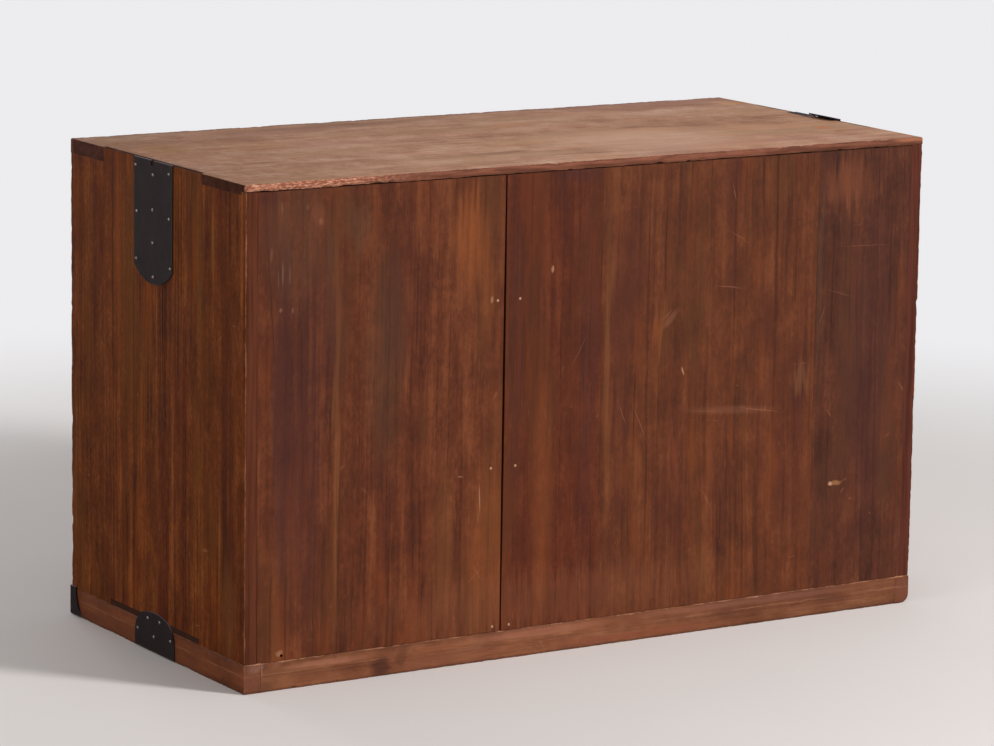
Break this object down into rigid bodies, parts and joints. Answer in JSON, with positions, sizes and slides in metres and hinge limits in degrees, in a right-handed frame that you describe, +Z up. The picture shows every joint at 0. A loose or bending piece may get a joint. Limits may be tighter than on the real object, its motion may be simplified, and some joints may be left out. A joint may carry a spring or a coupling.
{
  "type": "small tansu chest",
  "caption": "Low wooden tansu chest with sliding drawers, bail handles, plank back, plain base frame and iron side straps.",
  "frame": {"origin": "floor level, centre of the whole outline including the hanging handles", "axes": "+Z up, drawers open towards -Y, +X to the right of someone facing the drawers"},
  "size_m": [0.7616, 0.3639, 0.4742],
  "materials": {
    "top_wood": "worn dark-stained top, horizontal grain",
    "side_wood": "dark red-brown stained cedar, upright grain",
    "back_wood": "dark red-brown stained cedar, upright grain",
    "base_wood": "stained rail, grain along its length",
    "front_wood": "stained and polished front, grain along the width",
    "inner_wood": "bare pale drawer wood",
    "iron": "blackened wrought iron",
    "nail_iron": "blackened nails with rubbed heads",
    "peg": "bamboo"
  },
  "bodies": {
    "carcass": {"top_board": "top_wood", "bottom_board": "side_wood", "side_board_right": "side_wood", "side_board_left": "side_wood", "lower_shelf": "inner_wood", "upper_shelf": "inner_wood", "lower_front_rail": "front_wood", "upper_front_rail": "front_wood", "centre_divider": "front_wood", "back_board_right": "back_wood", "back_board_next": "back_wood", "back_board_wide": "back_wood", "back_board_left": "back_wood", "back_pegs": "peg", "base_rail_right": "base_wood", "base_rail_left": "base_wood", "base_rail_back": "base_wood", "base_rail_front": "base_wood", "drawer_stops": "inner_wood", "side_strap_right": "iron", "side_strap_left": "iron", "base_plate_right": "iron", "base_plate_left": "iron", "corner_iron_right": "iron", "corner_iron_left": "iron", "iron_nails": "nail_iron"},
    "upper_left_drawer": {"upper_left_drawer_front": "front_wood", "upper_left_drawer_left_side": "inner_wood", "upper_left_drawer_right_side": "inner_wood", "upper_left_drawer_back": "inner_wood", "upper_left_drawer_bottom": "inner_wood", "upper_left_drawer_handle_posts": "iron", "upper_left_drawer_rosettes": "iron"},
    "upper_left_handle": {"upper_left_drawer_handle": "iron"},
    "upper_right_drawer": {"upper_right_drawer_front": "front_wood", "upper_right_drawer_left_side": "inner_wood", "upper_right_drawer_right_side": "inner_wood", "upper_right_drawer_back": "inner_wood", "upper_right_drawer_bottom": "inner_wood", "upper_right_drawer_handle_posts": "iron", "upper_right_drawer_rosettes": "iron"},
    "upper_right_handle": {"upper_right_drawer_handle": "iron"},
    "middle_drawer": {"middle_drawer_front": "front_wood", "middle_drawer_left_side": "inner_wood", "middle_drawer_right_side": "inner_wood", "middle_drawer_back": "inner_wood", "middle_drawer_bottom": "inner_wood", "middle_drawer_handle_posts": "iron", "middle_drawer_rosettes": "iron"},
    "middle_left_handle": {"middle_drawer_left_handle": "iron"},
    "middle_right_handle": {"middle_drawer_right_handle": "iron"},
    "bottom_drawer": {"bottom_drawer_front": "front_wood", "bottom_drawer_left_side": "inner_wood", "bottom_drawer_right_side": "inner_wood", "bottom_drawer_back": "inner_wood", "bottom_drawer_bottom": "inner_wood", "bottom_drawer_handle_posts": "iron", "bottom_drawer_rosettes": "iron"},
    "bottom_left_handle": {"bottom_drawer_left_handle": "iron"},
    "bottom_right_handle": {"bottom_drawer_right_handle": "iron"}
  },
  "joints": [
    {"name": "upper_left_drawer_slide", "type": "slide", "parent": "carcass", "child": "upper_left_drawer", "axis": [0, -1, 0], "range_m": [0, 0.27]},
    {"name": "upper_left_handle_hinge", "type": "hinge", "parent": "upper_left_drawer", "child": "upper_left_handle", "pos_m": [-0.18425, -0.1772, 0.41465], "axis": [-1, 0, 0], "range_deg": [-6, 165]},
    {"name": "upper_right_drawer_slide", "type": "slide", "parent": "carcass", "child": "upper_right_drawer", "axis": [0, -1, 0], "range_m": [0, 0.27]},
    {"name": "upper_right_handle_hinge", "type": "hinge", "parent": "upper_right_drawer", "child": "upper_right_handle", "pos_m": [0.18425, -0.1772, 0.41465], "axis": [-1, 0, 0], "range_deg": [-6, 165]},
    {"name": "middle_drawer_slide", "type": "slide", "parent": "carcass", "child": "middle_drawer", "axis": [0, -1, 0], "range_m": [0, 0.27]},
    {"name": "middle_left_handle_hinge", "type": "hinge", "parent": "middle_drawer", "child": "middle_left_handle", "pos_m": [-0.18075, -0.1772, 0.27415], "axis": [-1, 0, 0], "range_deg": [-6, 165]},
    {"name": "middle_right_handle_hinge", "type": "hinge", "parent": "middle_drawer", "child": "middle_right_handle", "pos_m": [0.18075, -0.1772, 0.27415], "axis": [-1, 0, 0], "range_deg": [-6, 165]},
    {"name": "bottom_drawer_slide", "type": "slide", "parent": "carcass", "child": "bottom_drawer", "axis": [0, -1, 0], "range_m": [0, 0.27]},
    {"name": "bottom_left_handle_hinge", "type": "hinge", "parent": "bottom_drawer", "child": "bottom_left_handle", "pos_m": [-0.18075, -0.1772, 0.11815], "axis": [-1, 0, 0], "range_deg": [-6, 165]},
    {"name": "bottom_right_handle_hinge", "type": "hinge", "parent": "bottom_drawer", "child": "bottom_right_handle", "pos_m": [0.18075, -0.1772, 0.11815], "axis": [-1, 0, 0], "range_deg": [-6, 165]}
  ]
}
